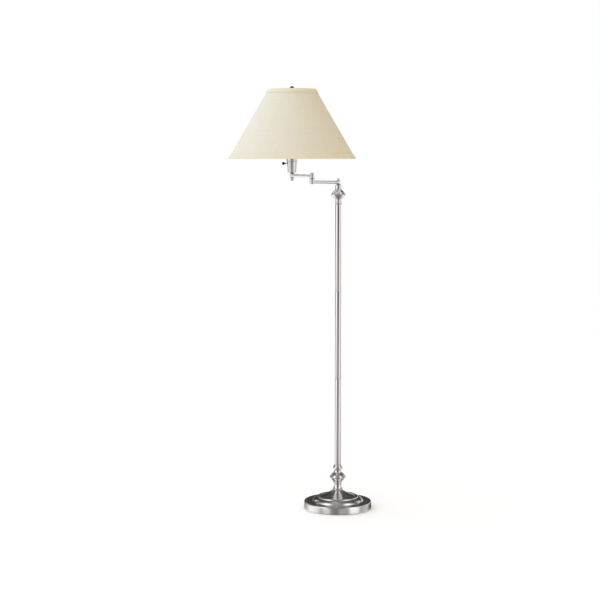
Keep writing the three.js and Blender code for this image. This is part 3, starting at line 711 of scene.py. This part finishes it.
def make_socket():
    cap = Extent("swivel_cap")
    shape = Outline(0, cap.bottom).curve(5.4, cap.bottom, 6.1, cap.bottom + 4.4, 12)
    shape.line(6.2, cap.top - 2.6).line(cap.radius, cap.top - 2).line(cap.radius, cap.top)
    piece = turned("swivel_cap_skin", shape, sides=72, ease=0.4, place=HEAD)
    finished(piece, "nickel_turned", "lamp_head", "swivel_cap")

    cup = Extent("socket_cup")
    floor_radius, sheet = 14.8, 1.2
    shape = Outline(floor_radius - 3, cup.bottom)
    shape.curve(floor_radius, cup.bottom, floor_radius + 0.2, cup.bottom + 3, 8)
    shape.line(cup.radius - 0.2, cup.top - 1).line(cup.radius, cup.top)
    inner = [(cup.radius - sheet, cup.top), (floor_radius - 1, cup.bottom + 3.6)]
    inner += [(floor_radius - 3, cup.bottom + sheet), (PIN_HOLE, cup.bottom + sheet)]
    inner.append((PIN_HOLE, cup.bottom))
    piece = lathed("socket_cup_skin", eased(shape.points + inner, 0.3), 128, place=HEAD)
    finished(piece, "nickel_turned", "lamp_head", "socket_cup")

    collar = Extent("socket_collar")
    shape = Outline(collar.radius - 1.5, collar.bottom)
    shape.line(collar.radius - 0.2, collar.bottom + 0.7)
    shape.line(collar.radius, collar.bottom + 1.8).line(collar.radius - 0.5, collar.bottom + 2.6)
    shape.line(collar.radius - 0.5, collar.top - 2.6).line(collar.radius, collar.top - 1.8)
    shape.line(collar.radius, collar.top - 0.8).line(collar.radius - 0.8, collar.top)
    piece = turned("socket_collar_skin", shape, SOCKET_BORE, sides=128, ease=0.3, place=HEAD)
    finished(piece, "nickel_turned", "lamp_head", "socket_collar")

    shell = Extent("socket_shell")
    shape = Outline(shell.radius, shell.bottom).line(shell.radius, shell.top - 5)
    shape.curve(shell.radius + 0.5, shell.top - 4, shell.radius, shell.top - 3, 6)
    shape.line(shell.radius, shell.top - 1).line(shell.radius - 0.3, shell.top)
    bore = shell.radius - 0.8
    piece = turned("socket_shell_skin", shape, bore, sides=96, ease=0.2, place=HEAD)
    finished(piece, "brass", "lamp_head", "socket_shell")

    clamp = Extent("socket_clamp_ring")
    loop = eased(turned_loop(straight(clamp, 0.3), SOCKET_BORE, 0.2)[0], 0.1)
    grooves = knurl(clamp.radius, 0.5, 40)
    piece = lathed("socket_clamp_ring_skin", loop, 120, sweep=grooves, place=HEAD)
    finished(piece, "brass", "lamp_head", "socket_clamp_ring")


def knurl(outer, depth, count):
    """A sweep that presses grooves into the outside of a ring."""

    def sweep(angle, radius, z):
        if radius < outer - depth:
            return radius
        return radius - depth * (0.5 - 0.5 * math.cos(count * angle))

    return sweep


SCREW_PITCH = 3.63


def threaded(root, depth, start, end):
    """A sweep that raises a rounded screw thread between two heights."""

    def sweep(angle, radius, z):
        if not start < z < end or radius < root:
            return radius
        fade = min(1, (z - start) / 1.5, (end - z) / 1.5)
        wave = 0.5 + 0.5 * math.cos(math.tau * (z / SCREW_PITCH) - angle)
        return radius + depth * wave * fade

    return sweep


def make_bulb():
    cap = Extent("bulb_base")
    shape = Outline(0, cap.bottom).curve(3.6, cap.bottom, 4.4, cap.bottom + 1.2, 4)
    shape.line(9.4, cap.bottom + 4).line(12.1, cap.bottom + 5.4)
    steps = 52  # rows enough for the thread to be round
    top = cap.top - 1.2
    for i in range(1, steps + 1):
        shape.line(12.1, cap.bottom + 5.4 + (top - cap.bottom - 5.4) * i / steps)
    shape.line(12.9, cap.top - 0.6).line(12.9, cap.top)
    loop, closed = turned_loop(shape, 0, 0.2)
    thread = threaded(12, 0.8, cap.bottom + 5.6, cap.top - 3)
    piece = lathed("bulb_base_skin", loop, 72, closed, thread, HEAD)
    finished(piece, "bulb_cap", "bulb", "bulb_base")

    glass = Extent("bulb_glass")
    neck_radius = 13.0
    shape = Outline(neck_radius, glass.bottom).line(neck_radius + 0.4, glass.bottom + 4)
    shape.curve(neck_radius + 2, glass.bottom + 14, 22, glass.bottom + 26, 16)
    shape.curve(glass.radius, glass.bottom + 37, glass.radius, glass.bottom + 54, 16)
    shape.arc(0, glass.top - glass.radius, glass.radius, 4, 90, 24)
    shape.points[-1] = (0.0, glass.top)
    bm = bmesh.new()
    wall = 0.9
    inner = [(max(r - wall, 0.0), min(z, glass.top - wall)) for r, z in reversed(shape.points)]
    lathe(bm, shape.points + inner, 80, closed=True)
    bmesh.ops.remove_doubles(bm, verts=bm.verts, dist=1e-7)
    piece = set_upright(as_object("bulb_glass_skin", bm), HEAD)
    finished(piece, "bulb_glass", "bulb", "bulb_glass")


def make_knob():
    """A black ball knob with a short stem, on a thin metal shaft toward -X."""
    e = Extent("switch_knob")
    reach = HEAD[0] - e.low.x
    radius = (e.top - e.bottom) / 2
    centre = reach - radius
    knob = Outline(0, centre - radius - 3.4).line(1.9, centre - radius - 3.2)
    knob.line(2.2, centre - radius * 0.86)
    knob.arc(0, centre, radius, -math.degrees(math.acos(2.4 / radius)), 90, 24)
    root, rod = HEAD[0] - e.high.x, 1.5
    shaft = Outline(0, root).line(rod, root).line(rod, centre - radius - 3.0)
    for name, shape, finish, node in (
        ("switch_knob_skin", knob, "black_plastic", "switch_knob"),
        ("switch_shaft_skin", shaft, "zinc_steel", None),
    ):
        piece = turned(name, shape, sides=56, ease=0.3)
        piece.rotation_euler = (0, -math.pi / 2, 0)
        piece.location = Vector((*HEAD, e.middle)) * MM
        finished(piece, finish, "knob", node)


# ---- Harp ----------------------------------

HARP_WIRE = 1.6  # the radius of the wire
HARP_FOOT = 27  # from the head's axis to each leg


def smooth_route(points, per_span):
    """Points of a centripetal Catmull-Rom curve through the given ones."""
    route = []
    padded = [points[0] * 2 - points[1]] + points + [points[-1] * 2 - points[-2]]
    for a, b, c, d in zip(padded, padded[1:], padded[2:], padded[3:]):
        ab, bc, cd = (math.sqrt((end - start).length) for start, end in ((a, b), (b, c), (c, d)))
        leave = ((b - a) / ab - (c - a) / (ab + bc) + (c - b) / bc) * bc
        arrive = ((c - b) / bc - (d - b) / (bc + cd) + (d - c) / cd) * bc
        for i in range(per_span):
            t = i / per_span
            u = 1 - t
            along = b * u**2 * (1 + 2 * t) + c * t**2 * (3 - 2 * t)
            route.append(along + leave * t * u**2 - arrive * t**2 * u)
    return route + [points[-1]]


def tube(bm, route, radius, sides=14, closed=False):
    """A round rod along a route in millimetres, with domed ends unless it is a loop."""
    uv = uv_layer(bm)
    rings, count = [], len(route)
    side = Vector((0, 1, 0))
    for i, point in enumerate(route):
        before = route[i - 1] if closed or i else route[i]
        after = route[(i + 1) % count] if closed or i < count - 1 else route[i]
        along = (after - before).normalized()
        side = (side - along * side.dot(along)).normalized()
        other = along.cross(side)
        turn = [math.tau * k / sides for k in range(sides)]
        ring = [point + (side * math.cos(a) + other * math.sin(a)) * radius for a in turn]
        rings.append([bm.verts.new(vertex * MM) for vertex in ring])
    for i in range(count if closed else count - 1):
        a, b = rings[i], rings[(i + 1) % count]
        for k in range(sides):
            face = bm.faces.new([a[k], a[(k + 1) % sides], b[(k + 1) % sides], b[k]])
            grid = ((k, i), (k + 1, i), (k + 1, i + 1), (k, i + 1))
            for corner, (u, v) in zip(face.loops, grid):
                corner[uv].uv = (u * radius * MM, v * 2 * MM)
    if not closed:
        for ring, neighbour in ((rings[0], route[1]), (rings[-1], route[-2])):
            face = bm.faces.new(ring)
            middle = face.calc_center_median()
            outward = (middle - neighbour * MM).normalized()
            tip = bmesh.ops.poke(bm, faces=[face])["verts"][0]
            tip.co = middle + outward * radius * 0.5 * MM


def harp_point(x, z):
    """A point in the harp's plane, from the head's axis."""
    return Vector((x, 0, z))


def make_harp():
    e = Extent("harp")
    foot, widest = HARP_FOOT, e.radius - HARP_WIRE
    bottom, top = e.bottom + HARP_WIRE * 0.5, e.top - HARP_WIRE
    # The legs are straight as far up as the lifted sleeves reach.
    leg_top, shoulder = 1276, 1350
    half = [(foot, bottom), (foot, leg_top - 7), (foot, leg_top), (foot + 6, leg_top + 15)]
    half += [(widest - 4, shoulder - 32), (widest, shoulder), (widest - 4, shoulder + 42)]
    half += [(foot + 8, top - 32), (foot / 2, top - 6)]
    points = [harp_point(x, z) for x, z in half] + [harp_point(0, top)]
    points += [harp_point(-x, z) for x, z in reversed(half)]
    bm = bmesh.new()
    tube(bm, smooth_route(points, 12), HARP_WIRE)
    piece = set_upright(as_object("harp_skin", bm), HEAD)
    finished(piece, "zinc_steel", "lamp_head", "harp")

    for side, body in ((-1, "sleeve_left"), (1, "sleeve_right")):
        node = f"harp_{body}"
        s = Extent(node)
        waist = s.radius - 0.5
        shape = Outline(waist, s.bottom).line(s.radius, s.bottom + 0.6).line(s.radius, s.bottom + 3)
        shape.line(waist, s.bottom + 3.6).line(waist, s.top - 3.6)
        shape.line(s.radius, s.top - 3).line(s.radius, s.top - 0.6).line(waist, s.top)
        bore = HARP_WIRE + 0.3
        piece = turned(f"{node}_skin", shape, bore, sides=48, ease=0.25, place=s.place)
        finished(piece, "brass", body, node)

    make_saddle()
    make_stud()


def make_stud():
    stud = Extent("harp_stud")
    shape = Outline(stud.radius, stud.bottom).line(stud.radius, stud.bottom + 1.6)
    shape.line(2.9, stud.bottom + 1.6)
    pitch, z = 1.0, stud.bottom + 2.2
    while z + pitch < stud.top - 0.4:
        shape.line(2.5, z).line(3, z + pitch / 2)
        z += pitch
    shape.line(2.4, stud.top)
    piece = turned("harp_stud_skin", shape, sides=48, ease=0.12, place=HEAD)
    finished(piece, "brass", "lamp_head", "harp_stud")


SADDLE_DISC = 19.5
STRAP_REACH, STRAP_HALF_WIDTH = 29.0, 3.5
SADDLE_THICKNESS = 1.5


def saddle_reach(angle):
    """How far the saddle's outline lies from its centre: a disc with two straps."""
    across, along = abs(math.sin(angle)), abs(math.cos(angle))
    strap = min(STRAP_REACH / max(along, 1e-9), STRAP_HALF_WIDTH / max(across, 1e-9))
    return max(SADDLE_DISC, strap)


def saddle_angles():
    """Even steps round the saddle, with the corners of its outline among them."""
    corner = math.atan2(STRAP_HALF_WIDTH, STRAP_REACH)
    joint = math.asin(STRAP_HALF_WIDTH / SADDLE_DISC)
    marks = {math.tau * i / 120 for i in range(120)}
    for base in (0, math.pi):
        for offset in (corner, joint):
            marks.update(((base + offset) % math.tau, (base - offset) % math.tau))
    return sorted(marks)


def make_saddle():
    e = Extent("harp_saddle")
    top = e.bottom + SADDLE_THICKNESS
    bm = bmesh.new()
    loops = []
    for angle in saddle_angles():
        outer = saddle_reach(angle)
        column = [(SOCKET_BORE, e.bottom), (outer, e.bottom), (outer, top), (SOCKET_BORE, top)]
        loops.append([bm.verts.new(polar(radius, angle, z) * MM) for radius, z in column])
    for here, there in zip(loops, loops[1:] + loops[:1]):
        for i in range(4):
            j = (i + 1) % 4
            bm.faces.new([here[i], there[i], there[j], here[j]])
    bmesh.ops.remove_doubles(bm, verts=bm.verts, dist=1e-6)
    for x in (-HARP_FOOT, HARP_FOOT):
        heights = (e.bottom + 0.7, e.middle, e.top - 0.8)
        tube(bm, [harp_point(x, z) for z in heights], HARP_WIRE)
    piece = set_upright(as_object("harp_saddle_skin", bm), HEAD)
    finished(piece, "zinc_steel", "lamp_head", "harp_saddle")


# ---- Shade ---------------------------------

SHADE = Extent("shade_bottom_trim")
SHADE_TOP = Extent("shade_top_trim")
SHADE_RISE = SHADE_TOP.top - SHADE.bottom
SHADE_TOP_RADIUS = 84.5  # of the trim's outer face at the top edge
SHADE_DROP = SHADE.radius - SHADE_TOP_RADIUS
SHADE_SLOPE = math.atan2(SHADE_DROP, SHADE_RISE)
CLOTH, LINER = (0.8, 0.6), (1.7, 0.6)  # depth below the trim's face, and thickness
BOTTOM_TRIM_WIDTH, TOP_TRIM_WIDTH = 16, 13


def shade_point(z, inset):
    """A point of the shade's profile: at a height, moved in square to the wall."""
    share = (z - SHADE.bottom) / SHADE_RISE
    radius = SHADE.radius - SHADE_DROP * share
    return radius - inset * math.cos(SHADE_SLOPE), z - inset * math.sin(SHADE_SLOPE)


def wall_band(bottom, top, inset, thickness, rows):
    """The closed profile of one layer of the shade's wall."""
    heights = [bottom + (top - bottom) * i / rows for i in range(rows + 1)]
    outer = [shade_point(z, inset) for z in heights]
    inner = [shade_point(z, inset + thickness) for z in reversed(heights)]
    return outer + inner


SHADE_SIDES = 240
SEAM_ANGLE = math.pi / 2  # at the back
SEAM_HALF, SEAM_RISE = 5.0, 0.25


def seam(angle, radius, z):
    """The cloth is lapped at the back, where the last centimetre stands a little proud."""
    away = abs((angle - SEAM_ANGLE + math.pi) % math.tau - math.pi) * radius
    return radius + SEAM_RISE * (0.5 - 0.5 * math.tanh(away - SEAM_HALF))


def make_shade():
    bottom, top = SHADE.bottom, SHADE_TOP.top
    band = eased(wall_band(bottom + 0.6, top - 0.4, *CLOTH, rows=24), 0.15)
    cloth = lathed("shade_cloth_skin", band, SHADE_SIDES, sweep=seam, place=HEAD)
    band = eased(wall_band(bottom + 0.9, top - 0.6, *LINER, rows=16), 0.15)
    liner = lathed("shade_liner_skin", band, SHADE_SIDES, place=HEAD)
    trims = [make_trim("shade_bottom_trim", bottom, 1, BOTTOM_TRIM_WIDTH)]
    trims.append(make_trim("shade_top_trim", top, -1, TOP_TRIM_WIDTH))
    finished(cloth, "linen", "shade", "shade_cloth")
    finished(liner, "shade_liner", "shade", "shade_liner")
    for piece, node in zip(trims, ("shade_bottom_trim", "shade_top_trim")):
        finished(piece, "linen_trim", "shade", node)


def make_trim(name, edge, upward, width):
    """A bias strip: flat on the outside, folded over the edge and a little way inside."""
    thickness, inside_width, depth = 0.76, 7, 6.2
    outer = [shade_point(edge + upward * width, 0.6)]
    outer += [shade_point(edge + upward * (width - 1.6) * (1 - i / 5), 0.0) for i in range(5)]
    fold_out, fold_in = shade_point(edge, 0.0)[0], shade_point(edge, depth)[0]
    fold_z = edge + upward * 0.4
    middle = ((fold_out + fold_in) / 2, edge - upward * 0.6)
    inner = [shade_point(edge + upward * inside_width * i / 3, depth) for i in range(1, 4)]
    spine = outer + [(fold_out, fold_z), middle, (fold_in, fold_z)] + inner
    face, back = [], []
    for i, point in enumerate(spine):
        before = Vector(spine[max(i - 1, 0)])
        after = Vector(spine[min(i + 1, len(spine) - 1)])
        along = (after - before).normalized()
        normal = Vector((-along.y, along.x)) * upward
        face.append(point)
        back.append(tuple(Vector(point) + normal * thickness))
    return lathed(f"{name}_skin", eased(face + back[::-1], 0.25), SHADE_SIDES, place=HEAD)


def loop_route(radius, z, count):
    turn = [math.tau * i / count for i in range(count)]
    return [polar(radius, a, z) for a in turn]


SPIDER_WIRE, SPIDER_HUB = 1.3, 3.4  # the arms' radius, and the hub's height
HUB_RADIUS, HUB_BORE = 9.4, 3.3


def make_shade_wires():
    e = Extent("shade_bottom_ring")
    wire_radius = (e.top - e.bottom) / 2
    bm = bmesh.new()
    route = loop_route(e.radius - wire_radius, e.middle, 180)
    tube(bm, route, wire_radius, 12, closed=True)
    piece = set_upright(as_object("shade_bottom_ring_skin", bm), HEAD)
    finished(piece, "zinc_steel", "shade", "shade_bottom_ring")

    spider = Extent("shade_spider")
    ring_z = spider.top - wire_radius
    ring_radius = spider.radius - wire_radius
    level = spider.bottom + SPIDER_WIRE + 0.2
    bm = bmesh.new()
    tube(bm, loop_route(ring_radius, ring_z, 120), wire_radius, 12, closed=True)
    for i in range(3):
        turn = math.tau * i / 3 + math.pi / 6
        route = [(5, level), (14, level), (ring_radius - 18, level)]
        route += [(ring_radius - 12, level + 0.6), (ring_radius - 4, ring_z - 3)]
        route.append((ring_radius, ring_z))
        points = [polar(radius, turn, z) for radius, z in route]
        tube(bm, smooth_route(points, 8), SPIDER_WIRE, 12)
    hub_top = spider.bottom + SPIDER_HUB
    hub = Outline(HUB_RADIUS - 0.6, spider.bottom).line(HUB_RADIUS, spider.bottom + 0.5)
    hub.line(HUB_RADIUS, hub_top - 0.6).line(HUB_RADIUS - 0.8, hub_top)
    lathe(bm, turned_loop(hub, HUB_BORE, 0.25)[0], 64)
    piece = set_upright(as_object("shade_spider_skin", bm), HEAD)
    finished(piece, "zinc_steel", "shade", "shade_spider")


def make_finial():
    e = Extent("finial")
    radius, neck_radius = 8.4, 4.5
    shape = Outline(5.8, e.bottom).line(6, e.bottom + 0.4).line(6, e.bottom + 1)
    shape.line(4.8, e.bottom + 1.7).line(neck_radius, e.bottom + 2.4)
    start = -math.degrees(math.acos(neck_radius / radius))
    shape.arc(0, e.top - radius, radius, start, 90, 28)
    piece = turned("finial_skin", shape, sides=72, ease=0.3, place=HEAD)
    finished(piece, "black_plastic", "finial", "finial")


# ---- CAD nodes that stay -------------------


def paint_kept_nodes():
    """Hidden pieces keep their CAD shape and get the material of their slot."""
    slots = {row["node"]: row["material_slot"] for row in frame["record"]["subparts"]}
    for node, thing in frame["nodes"].items():
        if thing.hide_render:
            continue
        material = FINISHES.get(slots[node], FINISHES["nickel_turned"])
        for material_slot in thing.material_slots:
            material_slot.material = material
        if not thing.material_slots:
            thing.data.materials.append(material)


# ---- Studio --------------------------------

# What polished metal sees in each direction round the lamp, from -180 to 180 degrees,
# where 0 is toward the camera and 90 is to the right, one row for each elevation.
STUDIO_ROWS = [
    (-70, [(-180, 0.25), (180, 0.25)]),
    (-50, [
        (-180, 0.3), (-130, 1.0), (-60, 0.5), (-20, 0.1), (20, 0.1), (60, 0.5), (130, 0.8),
        (180, 0.3)
    ]),
    (-28, [
        (-180, 0.4), (-160, 1.2), (-125, 1.4), (-85, 0.9), (-40, 0.15), (35, 0.12), (85, 0.8),
        (125, 1.3), (160, 1.2), (180, 0.4)
    ]),
    (-13, [
        (-180, 0.3), (-140, 0.5), (-110, 1.2), (-78, 1.0), (-60, 0.45), (-46, 0.85),
        (-34, 0.85), (-20, 0.3), (-4, 0.22), (10, 0.5), (34, 0.42), (46, 1.2), (70, 1.2),
        (84, 0.45), (120, 0.6), (140, 0.08), (180, 0.05)
    ]),
    (0, [
        (-180, 0.2), (-120, 0.25), (-96, 0.4), (-80, 1.4), (-42, 1.4), (-32, 0.15), (14, 0.1),
        (32, 0.5), (44, 1.2), (74, 0.75), (100, 0.75), (150, 1.3), (180, 0.6)
    ]),
    (9, [
        (-180, 0.05), (-120, 0.06), (-90, 0.8), (-50, 1.3), (-28, 0.15), (15, 0.1), (45, 0.8),
        (75, 1.1), (120, 0.3), (180, 0.05)
    ]),
    (22, [
        (-180, 0.04), (-150, 0.04), (-138, 1.0), (-120, 0.1), (-80, 0.9), (-55, 1.7),
        (-25, 0.25), (15, 0.2), (50, 1.6), (70, 0.9), (100, 0.1), (128, 1.0), (142, 0.06),
        (180, 0.04)
    ]),
    (45, [
        (-180, 0.08), (-100, 0.1), (-60, 1.8), (-30, 0.4), (25, 0.3), (55, 1.6), (90, 0.1),
        (180, 0.08)
    ]),
    (66, [(-180, 0.1), (-70, 0.2), (-20, 0.35), (20, 0.3), (70, 0.2), (180, 0.1)]),
    (85, [(-180, 0.3), (180, 0.3)]),
]
BRIGHTEST = 2.0  # colour ramps hold 0 to 1, so the values above are divided by this

# What cloth and floor are lit by: cool light from the left, warm light from the right,
# and a wide bright ceiling, as colour = middle + side * x + up * max(z, 0).
SKY_MIDDLE = (0.56, 0.55, 0.535)
SKY_SIDE = (-0.40, -0.54, -0.78)
SKY_UP = (0.80, 0.80, 0.80)


def studio_reflection(nodes, direction):
    """The rows above, blended from one elevation to the next."""
    x, y, z = nodes.split(direction)
    azimuth = nodes.math("ARCTAN2", x, nodes.math("MULTIPLY", y, -1.0))
    around = nodes.math("MULTIPLY_ADD", azimuth, 0.5 / math.pi, 0.5)
    height = nodes.math("MULTIPLY", nodes.math("ARCSINE", z), 180 / math.pi)
    result, lower = None, None
    for elevation, stops in STUDIO_ROWS:
        scaled = [((a + 180) / 360, (v / BRIGHTEST,) * 3 + (1.0,)) for a, v in stops]
        row = nodes.ramp(around, scaled)
        if result is not None:
            row = nodes.blend(nodes.spread(height, 0, 1, lower, elevation), result, row)
        result, lower = row, elevation
    return nodes.vector("MULTIPLY", result, (BRIGHTEST,) * 3)


def studio_sky(nodes, direction):
    x, _, z = nodes.split(direction)
    side = nodes.vector("MULTIPLY", nodes.combine(x, x, x), SKY_SIDE)
    above = nodes.math("MAXIMUM", z, 0.0)
    up = nodes.vector("MULTIPLY", nodes.combine(above, above, above), SKY_UP)
    return nodes.vector("ADD", nodes.vector("ADD", side, up), SKY_MIDDLE)


def make_world():
    world = bpy.data.worlds.new("studio")
    world.use_nodes = True
    bpy.context.scene.world = world
    nodes = Nodes(world.node_tree)
    direction = nodes.add("ShaderNodeTexCoord").outputs["Generated"]
    rays = nodes.add("ShaderNodeLightPath").outputs
    sky, reflection = studio_sky(nodes, direction), studio_reflection(nodes, direction)
    colour = nodes.blend(rays["Is Glossy Ray"], sky, reflection)
    colour = nodes.blend(rays["Is Camera Ray"], colour, rgb(1, 1, 1))
    background = nodes.add("ShaderNodeBackground", {"Color": colour, "Strength": 1.0})
    output = nodes.add("ShaderNodeOutputWorld")
    world.node_tree.links.new(background.outputs[0], output.inputs["Surface"])


FLOOR_HALF = 14  # metres


def make_studio():
    make_world()
    bm = bmesh.new()
    bmesh.ops.create_grid(bm, x_segments=8, y_segments=8, size=FLOOR_HALF)
    floor = as_object("studio_floor", bm)

    def pale(nodes):
        grain = nodes.noise(nodes.object_place(), 40, detail=3)
        return {"Base Color": nodes.blend(grain, rgb(0.96, 0.96, 0.965), rgb(0.98, 0.98, 0.985))}

    floor.data.materials.append(surface("pale_floor", pale, {"Roughness": 0.9}))
    floor.visible_glossy = False
    bpy.context.scene.view_settings.view_transform = "Standard"


# ---- Assembly ------------------------------

make_stand()
make_arms()
make_socket()
make_bulb()
make_knob()
make_harp()
make_shade()
make_shade_wires()
make_finial()
paint_kept_nodes()
make_studio()
